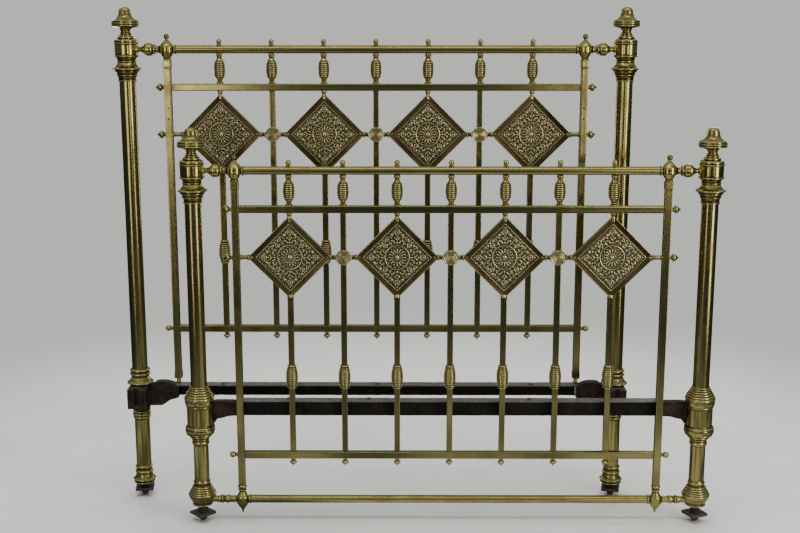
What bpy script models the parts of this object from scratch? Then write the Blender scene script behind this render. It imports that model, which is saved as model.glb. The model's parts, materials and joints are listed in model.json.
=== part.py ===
"""Two ends of an antique brass double bedstead, stood one in front of the other.

The head end stands at the back and the foot end in front of it, shifted to the right. Each end is a
panel of rails, stiles and turned spindles hung between two round posts, with an iron cross rail and
cast corner blocks whose dovetail sockets take the side irons. Metres, +Z up, viewer at -Y.
"""

import math

import bmesh
import bpy
from mathutils import Matrix, Vector

MM = 0.001

# Driving dimensions of both ends
POST_SPACING = 1.372
PITCH = 0.1436
STILE_SPACING = 8 * PITCH
POST_RADIUS = 0.0222
POST_BORE = 0.0205
SQUARE_TUBE = 0.01905
ACORN_RADIUS = 0.0194
LOW_ACORN_RADIUS = 0.0174
RAIL_RADIUS = 0.0111
SPINDLE_TUBE = 0.0159
GAP = 0.0003

# Sides of turned pieces: posts, rails and fittings, and small or hidden ones
ROUND = 16
SMALL_ROUND = 12
TINY_ROUND = 8

# Heights below the top rail's axis, the same on both ends
SECOND_RAIL_DROP = 0.103
DIAMOND_DROP = 0.233
BOTTOM_RAIL_DROP = 0.788
TOP_RAIL_HEIGHT = {"head_end": 1.292, "foot_end": 0.980}
LOW_RAIL_HEIGHT = 0.062

# Diamond plaques and bosses
DIAMOND_HALF = 0.1125
DIAMOND_CORNER = 0.1070
DIAMOND_FIELD_HALF = 0.0893
DIAMOND_DEPTH = 0.014
FIELD_RECESS = 0.0015
BOSS_RADIUS = 0.0205
BOSS_DEPTH = 0.018
LINK_RADIUS = 0.0075
NECK_RADIUS = 0.008
FERRULE_HALF = 0.0085
FERRULE_LENGTH = 0.0075
ROD_RADIUS = 0.003
ROD_HOLE = 0.0039

# Iron cross rail and corner castings
IRON_TOP = 0.340
IRON_LEG = 0.040
IRON_THICK = 0.005
CASTING_LOW = 0.280
ARM_LENGTH = 0.110
ARM_BELOW = 0.006
ARM_ABOVE = 0.008
HEAD_ARM = (-0.014, 0.008)
FOOT_ARM_FRONT = 0.012
FOOT_ARM = (FOOT_ARM_FRONT, 0.034)
SOCKET_REACH = 0.065
HEAD_SOCKET_HALF_WIDTH = 0.026
FOOT_SOCKET_HALF_WIDTH = 0.020
SLOT_MOUTH = 0.014
SLOT_BACK = 0.022
SLOT_DEPTH = 0.015
STUD_SPACING = 0.222

# Castor plates
PLATE_SIDE = 0.052
PLATE_LOW = 0.018
PLATE_THICK = 0.008
PLATE_HOLE = 0.007

# Where each end stands, and the sign of Y that points to the inside of the bed
STACK_SHIFT = 0.203
STACK_GAP = 0.190
PLACE = {
    "head_end": Vector((-STACK_SHIFT / 2, STACK_GAP / 2, 0)),
    "foot_end": Vector((STACK_SHIFT / 2, -STACK_GAP / 2, 0)),
}
INWARD = {"head_end": -1, "foot_end": 1}
SIDES = {"left": -1, "right": 1}
PLATE_TURN = {
    ("head_end", "left"): 8,
    ("head_end", "right"): -12,
    ("foot_end", "left"): 45,
    ("foot_end", "right"): 24,
}


# ---------------------------------------------------------------- scene and materials


def clear_scene():
    for old in list(bpy.data.objects):
        bpy.data.objects.remove(old, do_unlink=True)


def metal(name, colour, roughness, metallic=1.0):
    made = bpy.data.materials.new(name)
    made.use_nodes = True
    shader = made.node_tree.nodes["Principled BSDF"]
    shader.inputs["Base Color"].default_value = (*colour, 1)
    shader.inputs["Roughness"].default_value = roughness
    shader.inputs["Metallic"].default_value = metallic
    made.diffuse_color = (*colour, 1)
    return made


def make_materials():
    return {
        "bright": metal("polished_brass", (0.62, 0.47, 0.20), 0.22),
        "dull": metal("tarnished_brass", (0.36, 0.27, 0.12), 0.35),
        "plaque": metal("embossed_brass", (0.50, 0.42, 0.24), 0.38),
        "iron": metal("black_iron", (0.035, 0.032, 0.030), 0.6, 0.4),
        "rust": metal("rusty_iron", (0.16, 0.11, 0.10), 0.8, 0.3),
    }


# ---------------------------------------------------------------- mesh building blocks


def finish_mesh(bm, name, smooth=True):
    bmesh.ops.recalc_face_normals(bm, faces=bm.faces)
    mesh = bpy.data.meshes.new(name)
    bm.to_mesh(mesh)
    bm.free()
    if smooth:
        mesh.shade_smooth()
        mesh.set_sharp_from_angle(angle=math.radians(35))
    return mesh


def turned_mesh(name, outline, sides, hollow=False):
    """A solid turned about Z from (radius, height) pairs in millimetres, listed from low to high.

    A solid outline starts and ends on the axis. A hollow one is a loop round the wall's section.
    """
    bm = bmesh.new()
    rings = []
    for radius, height in outline:
        if radius == 0:
            rings.append([bm.verts.new((0, 0, height * MM))])
            continue
        ring = []
        for k in range(sides):
            a = 2 * math.pi * k / sides
            across = Vector((math.cos(a), math.sin(a), 0)) * radius * MM
            ring.append(bm.verts.new(across + Vector((0, 0, height * MM))))
        rings.append(ring)
    pairs = list(zip(rings, rings[1:]))
    if hollow:
        pairs.append((rings[-1], rings[0]))
    for low, high in pairs:
        for k in range(sides):
            n = (k + 1) % sides
            if len(low) == 1:
                bm.faces.new((low[0], high[n], high[k]))
            elif len(high) == 1:
                bm.faces.new((low[k], low[n], high[0]))
            else:
                bm.faces.new((low[k], low[n], high[n], high[k]))
    return finish_mesh(bm, name)


def block_mesh(name, low, high):
    bm = bmesh.new()
    bmesh.ops.create_cube(bm, size=1)
    size = Vector(high) - Vector(low)
    bmesh.ops.scale(bm, vec=size, verts=bm.verts)
    bmesh.ops.translate(bm, vec=(Vector(high) + Vector(low)) / 2, verts=bm.verts)
    return finish_mesh(bm, name, smooth=False)


def slab_mesh(name, outline, y_low, y_high):
    """A flat outline of (x, z) points, extruded along Y."""
    bm = bmesh.new()
    front = [bm.verts.new((x, y_low, z)) for x, z in outline]
    face = bm.faces.new(front)
    grown = bmesh.ops.extrude_face_region(bm, geom=[face])
    moved = [v for v in grown["geom"] if isinstance(v, bmesh.types.BMVert)]
    bmesh.ops.translate(bm, vec=(0, y_high - y_low, 0), verts=moved)
    return finish_mesh(bm, name, smooth=False)


def rod_mesh(name, radius, low, high, sides):
    outline = [(0, low / MM), (radius / MM, low / MM), (radius / MM, high / MM), (0, high / MM)]
    return turned_mesh(name, outline, sides)


def repeated_mesh(name, mesh, places):
    """Copies of one mesh at several places, which don't touch each other, as a single mesh."""
    bm = bmesh.new()
    for place in places:
        before = len(bm.verts)
        bm.from_mesh(mesh)
        bm.verts.ensure_lookup_table()
        bmesh.ops.translate(bm, vec=place, verts=bm.verts[before:])
    return finish_mesh(bm, name)


def add(name, mesh, material, place=(0, 0, 0), turn=(0, 0, 0)):
    made = bpy.data.objects.new(name, mesh)
    bpy.context.collection.objects.link(made)
    made.location = place
    made.rotation_euler = turn
    if material:
        mesh.materials.append(material)
    return made


def combine(body, tool, operation):
    """Boolean of two objects with the result applied to the first, and the second removed."""
    step = body.modifiers.new(operation.lower(), "BOOLEAN")
    step.operation = operation
    step.solver = "EXACT"
    step.object = tool
    bpy.context.view_layer.update()
    shape = body.evaluated_get(bpy.context.evaluated_depsgraph_get())
    result = bpy.data.meshes.new_from_object(shape)
    body.modifiers.clear()
    body.data = result
    bpy.data.objects.remove(tool, do_unlink=True)


def join(body, *tools):
    for tool in tools:
        combine(body, tool, "UNION")


def cut(body, *tools):
    for tool in tools:
        combine(body, tool, "DIFFERENCE")


# ---------------------------------------------------------------- turned outlines, in millimetres

# Heights from the top rail's axis. The bell at the bottom slips over the post tube.
CROWN_OUTLINE = [
    (0, -66), (22.7, -66), (22.7, -86), (25, -86), (24, -77), (28, -64), (39.5, -53), (24.5, -37),
    (23.5, -30), (33, -19), (32, -16), (32, 13), (33.5, 15), (32, 27), (23.5, 30), (22.5, 36),
    (5.9, 36), (5.9, 20), (0, 20),
]
FINIAL_OUTLINE = [
    (0, 20.4), (5, 20.4), (5, 36.3), (13, 36.3), (12.8, 56), (30, 59.5), (37, 64), (35, 67),
    (37, 71), (36.5, 77), (20, 86), (17, 95), (15.5, 106), (10, 112), (0, 113.5),
]
# Links from a post to the stile's acorns, lying along their own Z from the post's axis.
STILE_OFFSET = (POST_SPACING - STILE_SPACING) / 2
TOP_LINK_END = (STILE_OFFSET - ACORN_RADIUS - GAP) / MM
LOW_LINK_END = (STILE_OFFSET - LOW_ACORN_RADIUS - GAP) / MM
TOP_LINK_OUTLINE = [
    (0, 20), (9, 20), (9, 38), (13, 50), (19, 61), (18, 66), (12, 73), (13.5, 79), (11, 84),
    (11, TOP_LINK_END), (0, TOP_LINK_END),
]
LOW_LINK_OUTLINE = [
    (0, 15), (9, 15), (9, 45), (11, 55), (10, 62), (11, 75), (9.5, 80), (9.5, LOW_LINK_END),
    (0, LOW_LINK_END),
]
# Heights above the floor.
HEAD_BASE_OUTLINE = [
    (36, 340.6), (36, 348), (24, 361), (26.5, 372), (24.5, 378), (26.5, 384), (22.2, 388),
]
HEAD_LEG_OUTLINE = [
    (0, 0), (7, 0), (10, 6), (10, 17.4), (5.5, 17.4), (5.5, 26.6), (13, 26.6), (13, 39), (29, 39), (32, 50),
    (23, 68), (26, 77), (22.5, 84), (25.5, 91), (21.5, 96), (21.5, 235), (27, 245), (23, 261.5),
    (8, 261.5), (8, 365), (0, 365),
]
FOOT_LEG_OUTLINE = [
    (0, 0), (7, 0), (10, 6), (10, 17.4), (5.5, 17.4), (5.5, 26.6), (13, 26.6), (13, 47), (26, 47),
    (26.5, 54), (36, 71), (38, 79), (25, 105), (25, 117), (20.8, 119), (20.8, 222), (24.5, 226),
    (23.5, 236), (38, 252), (41, 264), (38, 279), (35, 281), (35, 332), (39, 336), (40.5, 352),
    (38.5, 361), (25, 385), (22.5, 389.2), (20, 389.2), (20, 410), (0, 410),
]
# Heights from the top rail's axis.
STILE_HEAD_OUTLINE = [
    (0, -50), (11.5, -50), (11.5, -27), (8.5, -23), (19.4, -12), (19.4, 13), (4, 27), (7.6, 34), (0, 43),
]
ACORN_OUTLINE = [(0, 22), (5, 34), (13, 45), (17.4, 57), (17.4, 68), (11, 85), (11, 104), (0, 104)]
SIDE_FINIAL_OUTLINE = [(0, 5), (5, 5), (5, 14), (11, 22), (0, 35)]

# Faces of the square rails that the columns bear on, and of the round top rail.
SECOND_RAIL_TOP = (-SECOND_RAIL_DROP + SQUARE_TUBE / 2 + GAP) / MM
BOTTOM_RAIL_TOP = (-BOTTOM_RAIL_DROP + SQUARE_TUBE / 2 + GAP) / MM
BOTTOM_RAIL_LOW = (-BOTTOM_RAIL_DROP - SQUARE_TUBE / 2 - GAP) / MM
TOP_RAIL_FACE = (RAIL_RADIUS + GAP) / MM
ROD = ROD_RADIUS / MM

# The drop below the bottom rail, the tie rod, the baluster on the second rail, and the ball on top.
COLUMN_OUTLINE = [
    (0, -821), (10, -809), (6, BOTTOM_RAIL_LOW), (ROD, BOTTOM_RAIL_LOW), (ROD, SECOND_RAIL_TOP),
    (6, SECOND_RAIL_TOP), (7, -83), (12.5, -76), (14, -54), (12.5, -33), (6.5, -24), (8, -TOP_RAIL_FACE),
    (ROD, -TOP_RAIL_FACE), (ROD, TOP_RAIL_FACE), (5.7, TOP_RAIL_FACE), (9.5, 19), (7, 25), (0, 28.5),
]
COLLAR_OUTLINE = [
    (0, -596), (12, -596), (12, -582), (14.5, -576), (14.5, -540), (12, -532), (0, -532),
]


# ---------------------------------------------------------------- posts


def make_post(end, side, materials):
    """Finial, crown, post tube, leg and castor plate of one post, and the casting's seat in it."""
    sign = SIDES[side]
    top = TOP_RAIL_HEIGHT[end]
    axis = PLACE[end] + Vector((sign * POST_SPACING / 2, 0, 0))
    at_rail = axis + Vector((0, 0, top))
    toward_panel = (0, -sign * math.pi / 2, 0)

    bright = materials["bright"]
    add(f"{end}_finial_{side}", turned_mesh("finial", FINIAL_OUTLINE, ROUND), bright, at_rail)
    crown = add(f"{end}_crown_{side}", turned_mesh("crown", CROWN_OUTLINE, ROUND), bright, at_rail)
    link = turned_mesh("link", TOP_LINK_OUTLINE, SMALL_ROUND)
    join(crown, add("link", link, bright, at_rail, toward_panel))

    tube_top = (top - 0.0663) / MM
    bore = POST_BORE / MM
    radius = POST_RADIUS / MM
    if end == "head_end":
        outline = [(bore, HEAD_BASE_OUTLINE[0][1]), *HEAD_BASE_OUTLINE, (radius, tube_top), (bore, tube_top)]
    else:
        low = 389.5
        outline = [(bore, low), (radius, low), (radius, tube_top), (bore, tube_top)]
    tube = turned_mesh("post_tube", outline, ROUND, hollow=True)
    add(f"{end}_post_{side}", tube, materials["dull"], axis)

    leg_outline = HEAD_LEG_OUTLINE if end == "head_end" else FOOT_LEG_OUTLINE
    leg = add(f"{end}_leg_{side}", turned_mesh("leg", leg_outline, ROUND), bright, axis)
    if end == "foot_end":
        low_link = turned_mesh("low_link", LOW_LINK_OUTLINE, SMALL_ROUND)
        at_low_rail = axis + Vector((0, 0, LOW_RAIL_HEIGHT))
        join(leg, add("low_link", low_link, bright, at_low_rail, toward_panel))
        cut(leg, add("pocket", casting_pocket(sign), None, axis))

    half_plate = PLATE_SIDE / 2
    plate_mesh = block_mesh("plate", (-half_plate, -half_plate, 0), (half_plate, half_plate, PLATE_THICK))
    low_plate = axis + Vector((0, 0, PLATE_LOW))
    turn = (0, 0, math.radians(PLATE_TURN[end, side]))
    plate = add(f"{end}_castor_plate_{side}", plate_mesh, materials["rust"], low_plate, turn)
    hole = rod_mesh("hole", PLATE_HOLE, -PLATE_THICK, 2 * PLATE_THICK, SMALL_ROUND)
    cut(plate, add("hole", hole, None, low_plate))


def casting_pocket(sign):
    """The room that a foot post's drum leaves for the corner casting, out to the panel's side."""
    near = FOOT_SOCKET_HALF_WIDTH + GAP
    far = 0.080
    low = CASTING_LOW - ARM_BELOW - GAP
    high = IRON_TOP + ARM_ABOVE + GAP
    x_low, x_high = (-near, far) if sign < 0 else (-far, near)
    return block_mesh("pocket", (x_low, FOOT_ARM_FRONT - GAP, low), (x_high, far, high))


# ---------------------------------------------------------------- castings and cross iron


def arm_outline(reach_from):
    """Side view of a corner casting's arm: deep by the post, swept up to the angle iron's depth."""
    iron_low = IRON_TOP - IRON_LEG
    return [
        (reach_from, CASTING_LOW - ARM_BELOW),
        (0.062, CASTING_LOW - ARM_BELOW),
        (0.086, iron_low - 0.010),
        (ARM_LENGTH, iron_low - 0.003),
        (ARM_LENGTH, IRON_TOP),
        (0.100, IRON_TOP),
        (0.088, IRON_TOP + 0.005),
        (0.070, IRON_TOP + ARM_ABOVE),
        (0.048, IRON_TOP + 0.007),
        (0.038, IRON_TOP),
        (reach_from, IRON_TOP),
    ]


def dovetail_cutter():
    """A slot along Z that is narrow at its mouth and wide at its back, seen from above."""
    mouth = SOCKET_REACH + 0.001
    back = SOCKET_REACH - SLOT_DEPTH
    outline = [
        (-SLOT_MOUTH / 2, mouth),
        (SLOT_MOUTH / 2, mouth),
        (SLOT_BACK / 2, back),
        (-SLOT_BACK / 2, back),
    ]
    bm = bmesh.new()
    low = [bm.verts.new((x, y, CASTING_LOW + 0.008)) for x, y in outline]
    face = bm.faces.new(low)
    grown = bmesh.ops.extrude_face_region(bm, geom=[face])
    moved = [v for v in grown["geom"] if isinstance(v, bmesh.types.BMVert)]
    bmesh.ops.translate(bm, vec=(0, 0, 0.080), verts=moved)
    return finish_mesh(bm, "dovetail", smooth=False)


def mirror_into_place(made, sign, inward):
    """Turns a shape drawn for a left post with its inside at +Y into any of the four corners."""
    flip = Matrix.Diagonal((-sign, inward, 1, 1))
    made.data.transform(flip)
    if -sign * inward < 0:
        made.data.flip_normals()


def make_corner_casting(end, side, materials):
    sign = SIDES[side]
    inward = INWARD[end]
    axis = PLACE[end] + Vector((sign * POST_SPACING / 2, 0, 0))
    head = end == "head_end"
    half = HEAD_SOCKET_HALF_WIDTH if head else FOOT_SOCKET_HALF_WIDTH
    block_start = 0.0 if head else FOOT_ARM_FRONT
    casting = add(
        f"{end}_corner_casting_{side}",
        block_mesh("casting", (-half, block_start, CASTING_LOW), (half, SOCKET_REACH, IRON_TOP)),
        materials["iron"],
    )
    arm_low, arm_high = HEAD_ARM if head else FOOT_ARM
    join(casting, add("arm", slab_mesh("arm", arm_outline(0.010), arm_low, arm_high), materials["iron"]))
    if head:
        join(casting, add("seat", rod_mesh("seat", 0.026, 0.262, IRON_TOP, ROUND), materials["iron"]))
        cut(casting, add("rod_way", rod_mesh("rod_way", 0.0095, 0.2, 0.4, SMALL_ROUND), None))
    cut(casting, add("slot", dovetail_cutter(), None))
    mirror_into_place(casting, sign, inward)
    casting.location = axis


def make_cross_iron(end, materials):
    """Angle iron between the two castings, with the studs that hold the bed's laths."""
    inward = INWARD[end]
    half = POST_SPACING / 2 - ARM_LENGTH - GAP
    web_face = HEAD_ARM[0] if end == "head_end" else FOOT_ARM_FRONT
    section = [
        (web_face, IRON_TOP),
        (web_face + IRON_LEG, IRON_TOP),
        (web_face + IRON_LEG, IRON_TOP - IRON_THICK),
        (web_face + IRON_THICK, IRON_TOP - IRON_THICK),
        (web_face + IRON_THICK, IRON_TOP - IRON_LEG),
        (web_face, IRON_TOP - IRON_LEG),
    ]
    bm = bmesh.new()
    start = [bm.verts.new((-half, y * inward, z)) for y, z in section]
    face = bm.faces.new(start)
    grown = bmesh.ops.extrude_face_region(bm, geom=[face])
    moved = [v for v in grown["geom"] if isinstance(v, bmesh.types.BMVert)]
    bmesh.ops.translate(bm, vec=(2 * half, 0, 0), verts=moved)
    iron = add(f"{end}_cross_iron", finish_mesh(bm, "iron", smooth=False), materials["iron"], PLACE[end])
    stud = turned_mesh("stud", [(0, -2), (4, -2), (4, 3), (7, 3), (0, 7)], TINY_ROUND)
    row = inward * (web_face + IRON_LEG * 0.6)
    places = [(k * STUD_SPACING, row, IRON_TOP) for k in range(-2, 3)]
    join(iron, add("studs", repeated_mesh("studs", stud, places), materials["iron"], PLACE[end]))


# ---------------------------------------------------------------- panel


def column_places():
    """X of the seven spindles, counted 1 to 7 from the left."""
    return {k: (k - 4) * PITCH for k in range(1, 8)}


def has_diamond(k):
    return k % 2 == 1


def make_rail(name, mesh, material, place, column_holes=True):
    rail = add(name, mesh, material, place)
    if column_holes:
        hole = rod_mesh("hole", ROD_HOLE, -0.03, 0.03, TINY_ROUND)
        places = [(x, 0, 0) for x in column_places().values()]
        cut(rail, add("holes", repeated_mesh("holes", hole, places), None, place))
    return rail


def round_bar(name, half, radius):
    mesh = rod_mesh(name, radius, -half, half, ROUND)
    mesh.transform(Matrix.Rotation(math.pi / 2, 4, "Y"))
    return mesh


def make_rails(end, materials):
    place = PLACE[end]
    top = TOP_RAIL_HEIGHT[end]
    half_square = SQUARE_TUBE / 2
    between_stiles = STILE_SPACING / 2 - half_square - GAP
    between_acorns = STILE_SPACING / 2 - ACORN_RADIUS - GAP

    def square(name, drop):
        mesh = block_mesh(
            name, (-between_stiles, -half_square, -half_square), (between_stiles, half_square, half_square)
        )
        return make_rail(f"{end}_{name}", mesh, materials["dull"], place + Vector((0, 0, top - drop)))

    top_bar = round_bar("top_rail", between_acorns, RAIL_RADIUS)
    make_rail(f"{end}_top_rail", top_bar, materials["bright"], place + Vector((0, 0, top)))
    square("second_rail", SECOND_RAIL_DROP)
    square("bottom_rail", BOTTOM_RAIL_DROP)
    if end == "foot_end":
        low = round_bar("low_rail", STILE_SPACING / 2 - LOW_ACORN_RADIUS - GAP, RAIL_RADIUS)
        low_place = place + Vector((0, 0, LOW_RAIL_HEIGHT))
        make_rail("foot_end_low_rail", low, materials["bright"], low_place, column_holes=False)


def make_stile(end, side, materials):
    """Square upright between a post and the panel, with its acorn fittings and side balls."""
    sign = SIDES[side]
    top = TOP_RAIL_HEIGHT[end]
    base = PLACE[end] + Vector((sign * STILE_SPACING / 2, 0, 0))
    half = SQUARE_TUBE / 2
    foot = IRON_TOP + GAP if end == "head_end" else 0.095
    bar = block_mesh("stile", (-half, -half, foot), (half, half, top - 0.040))
    stile = add(f"{end}_stile_{side}", bar, materials["dull"], base)
    head = turned_mesh("stile_head", STILE_HEAD_OUTLINE, SMALL_ROUND)
    join(stile, add("head", head, materials["bright"], base + Vector((0, 0, top))))
    if end == "foot_end":
        join(stile, add("acorn", turned_mesh("acorn", ACORN_OUTLINE, SMALL_ROUND), materials["bright"], base))
    for drop in (SECOND_RAIL_DROP, DIAMOND_DROP, BOTTOM_RAIL_DROP):
        ball = turned_mesh("side_finial", SIDE_FINIAL_OUTLINE, TINY_ROUND)
        outward = (0, sign * math.pi / 2, 0)
        join(stile, add("ball", ball, materials["bright"], base + Vector((0, 0, top - drop)), outward))


def make_column(end, k, materials):
    """One spindle on its tie rod, which runs on through the rails, and through a plaque's neck."""
    place = PLACE[end] + Vector((column_places()[k], 0, TOP_RAIL_HEIGHT[end]))
    on_rod = turned_mesh("column", COLUMN_OUTLINE, TINY_ROUND)
    column = add(f"{end}_spindle_{k}", on_rod, materials["dull"], place)
    half = SPINDLE_TUBE / 2
    tube_top = -SECOND_RAIL_DROP - SQUARE_TUBE / 2 - GAP
    if has_diamond(k):
        tube_top = -(DIAMOND_DROP + DIAMOND_CORNER + FERRULE_LENGTH + GAP)
    tube = block_mesh("tube", (-half, -half, BOTTOM_RAIL_TOP * MM), (half, half, tube_top))
    join(column, add("tube", tube, materials["dull"], place))
    collar = turned_mesh("collar", COLLAR_OUTLINE, SMALL_ROUND)
    join(column, add("collar", collar, materials["bright"], place))
    if not has_diamond(k):
        half = BOSS_DEPTH / 2 / MM
        rim = BOSS_RADIUS / MM
        outline = [(0, -half), (rim, -half * 0.4), (rim, half * 0.4), (0, half)]
        where = place - Vector((0, 0, DIAMOND_DROP))
        boss = turned_mesh("boss", outline, ROUND)
        join(column, add("boss", boss, materials["bright"], where, (math.pi / 2, 0, 0)))


def make_diamond(end, k, materials):
    """Square plaque set on its clipped corner, with a recessed field, end links and a neck on the rod."""
    centre = PLACE[end] + Vector((column_places()[k], 0, TOP_RAIL_HEIGHT[end] - DIAMOND_DROP))
    half = DIAMOND_DEPTH / 2
    tip, clip = DIAMOND_CORNER, DIAMOND_HALF - DIAMOND_CORNER
    outline = [(tip, -clip), (tip, clip), (clip, tip), (-clip, tip)]
    outline += [(-x, -z) for x, z in outline]
    inner = DIAMOND_FIELD_HALF
    field = [(inner, 0), (0, inner), (-inner, 0), (0, -inner)]
    plaque = add(f"{end}_diamond_{k}", slab_mesh("plaque", outline, -half, half), materials["plaque"], centre)
    recess = slab_mesh("recess", field, -half - 0.002, -half + FIELD_RECESS)
    cut(plaque, add("recess", recess, None, centre))

    to_boss = PITCH - BOSS_RADIUS - GAP
    to_stile = PITCH - SQUARE_TUBE / 2 - GAP
    inside = DIAMOND_CORNER - 0.012
    for sign in (-1, 1):
        outer = (k == 1 and sign < 0) or (k == 7 and sign > 0)
        reach = to_stile if outer else to_boss
        link = rod_mesh("link", LINK_RADIUS, inside, reach, SMALL_ROUND)
        join(plaque, add("link", link, materials["bright"], centre, (0, sign * math.pi / 2, 0)))
    neck_top = DIAMOND_DROP - SECOND_RAIL_DROP - SQUARE_TUBE / 2 - GAP
    neck = rod_mesh("neck", NECK_RADIUS, inside, neck_top, SMALL_ROUND)
    wide = FERRULE_HALF
    ferrule_low = -DIAMOND_CORNER - FERRULE_LENGTH
    ferrule = block_mesh("ferrule", (-wide, -wide, ferrule_low), (wide, wide, -inside))
    join(plaque, add("neck", neck, materials["bright"], centre))
    join(plaque, add("ferrule", ferrule, materials["bright"], centre))
    cut(plaque, add("rod_way", rod_mesh("rod_way", ROD_HOLE, -0.13, 0.13, TINY_ROUND), None, centre))


# ---------------------------------------------------------------- build


def main():
    clear_scene()
    materials = make_materials()
    for end in PLACE:
        for side in SIDES:
            make_post(end, side, materials)
            make_corner_casting(end, side, materials)
            make_stile(end, side, materials)
        make_cross_iron(end, materials)
        make_rails(end, materials)
        for k in column_places():
            make_column(end, k, materials)
            if has_diamond(k):
                make_diamond(end, k, materials)


main()
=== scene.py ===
"""The looks of an antique brass bedstead, taken apart and stood with its two ends one behind the other.

Every piece is made here in mesh code, in metres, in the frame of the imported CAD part: +Z is up and
the viewer is at -Y. Places come from the CAD nodes' boxes, and the outlines of the turned brass are
in millimetres. Each piece replaces one CAD node or rides on the same body as the node it dresses.
"""

import json
import math

import bmesh
import bpy
import numpy as np
from mathutils import Matrix, Vector, noise

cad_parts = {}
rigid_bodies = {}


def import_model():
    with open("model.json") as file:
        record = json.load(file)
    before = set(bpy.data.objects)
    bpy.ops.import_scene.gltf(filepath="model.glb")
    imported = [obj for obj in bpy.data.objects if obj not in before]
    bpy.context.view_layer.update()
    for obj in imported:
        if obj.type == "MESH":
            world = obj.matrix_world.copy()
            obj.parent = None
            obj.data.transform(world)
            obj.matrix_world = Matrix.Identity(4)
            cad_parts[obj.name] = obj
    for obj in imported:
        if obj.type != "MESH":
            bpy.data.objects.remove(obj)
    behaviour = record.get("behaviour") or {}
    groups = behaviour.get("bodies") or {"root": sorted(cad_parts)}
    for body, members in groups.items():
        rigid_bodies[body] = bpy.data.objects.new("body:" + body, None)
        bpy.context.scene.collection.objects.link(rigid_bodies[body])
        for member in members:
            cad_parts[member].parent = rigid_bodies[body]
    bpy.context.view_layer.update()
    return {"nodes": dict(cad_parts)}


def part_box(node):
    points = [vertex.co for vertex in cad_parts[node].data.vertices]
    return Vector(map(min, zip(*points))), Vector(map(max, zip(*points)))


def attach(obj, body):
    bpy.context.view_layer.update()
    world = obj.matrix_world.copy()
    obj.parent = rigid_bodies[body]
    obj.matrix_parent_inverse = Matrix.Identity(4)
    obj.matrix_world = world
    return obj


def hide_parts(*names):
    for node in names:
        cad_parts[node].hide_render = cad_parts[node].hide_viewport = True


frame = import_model()

MM = 0.001
ENDS = ("head_end", "foot_end")
SIDES = {"left": -1, "right": 1}
COLUMNS = range(1, 8)
MIDDLE_COLUMN = 4

# Sizes in metres that the pieces share
GAP = 0.0003
SQUARE_TUBE = 0.01905
SPINDLE_TUBE = 0.0159
LOW_RAIL_HEIGHT = 0.062
PLAQUE_HALF = 0.1125
PLAQUE_CORNER = 0.107
STUD_HEIGHT = 0.007

# Sizes in millimetres. A drop is a distance below the top rail's axis
SECOND_RAIL_DROP = 103
BOTTOM_RAIL_DROP = 788
DIAMOND_DROP = 233
RAIL_CLEARANCE = 9.9
BOSS_RADIUS = 20.5
PITCH = 143.6
FERRULE_LENGTH = 7.5

# Segments round a turned piece
FINE = 64
MEDIUM = 40
SMALL = 28

# How finely outlines are cut, in millimetres but for the arc's step
ARC_STEP = math.radians(22)
ARC_CHORD = 0.45
SHORT_LINE = 6
LINE_END = 2
LINE_STEP = 12
CAVITY_REACH = 2.2
CAVITY_DEPTH = 0.7

# Old drawn tube, in metres: slightly dished faces, slight waves, eased ends
DISH = 0.08 * MM
WAVE = 0.06 * MM
TUBE_STEP = 0.012
END_EASE = 0.0006
END_RUN = 0.002
END_DIRT = 0.004
END_SCALE = 0.9

# Cavity marks of a square tube: worn along its corners, dirty at its ends
CORNER_WEAR = -0.75
CORNER_EDGE_WEAR = -0.3
END_DARK = 0.9

SHARP_ANGLE = math.radians(35)
PLAQUE_SHARP_ANGLE = math.radians(62)


# ---- outlines


def arc_points(start, end, bulge):
    """Points after the start of an arc whose bulge is the tangent of a quarter of its angle.

    A positive bulge swells away from the axis when the outline runs from low to high.
    """
    a, b = Vector(start), Vector(end)
    chord = b - a
    angle = 4 * math.atan(bulge)
    radius = chord.length / (2 * math.sin(angle / 2))
    left = Vector((-chord.y, chord.x)).normalized()
    centre = (a + b) / 2 + left * radius * math.cos(angle / 2)
    steps = max(3, math.ceil(abs(angle) / ARC_STEP))
    steps = min(steps, max(3, math.ceil(abs(angle * radius) / ARC_CHORD)))
    arm = a - centre
    found = []
    for k in range(1, steps + 1):
        turn = angle * k / steps
        cos, sin = math.cos(turn), math.sin(turn)
        found.append(centre + Vector((arm.x * cos - arm.y * sin, arm.x * sin + arm.y * cos)))
    return found


def split_line(a, b):
    """Points after a on a straight run, closer together near its ends."""
    length = (b - a).length
    if length < SHORT_LINE:
        return [b]
    inner = length - 2 * LINE_END
    count = max(1, math.ceil(inner / LINE_STEP))
    marks = [LINE_END + inner * k / count for k in range(count + 1)]
    return [a.lerp(b, mark / length) for mark in marks] + [b]


def full_outline(outline):
    """The (radius, height[, bulge]) corners of an outline as a plain run of points."""
    corners = [(p[0], p[1]) for p in outline]
    bulges = [p[2] if len(p) > 2 else 0 for p in outline]
    points = [Vector(corners[0])]
    for k in range(len(corners) - 1):
        if bulges[k]:
            points += arc_points(corners[k], corners[k + 1], bulges[k])
        else:
            points += split_line(points[-1], Vector(corners[k + 1]))
    return points


def point_at(distance, points, along):
    """The place on a run of points at a distance along it."""
    distance = min(max(distance, 0), along[-1])
    for k in range(len(points) - 1):
        if along[k + 1] >= distance:
            step = along[k + 1] - along[k]
            return points[k].lerp(points[k + 1], (distance - along[k]) / step if step else 0)
    return points[-1]


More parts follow.
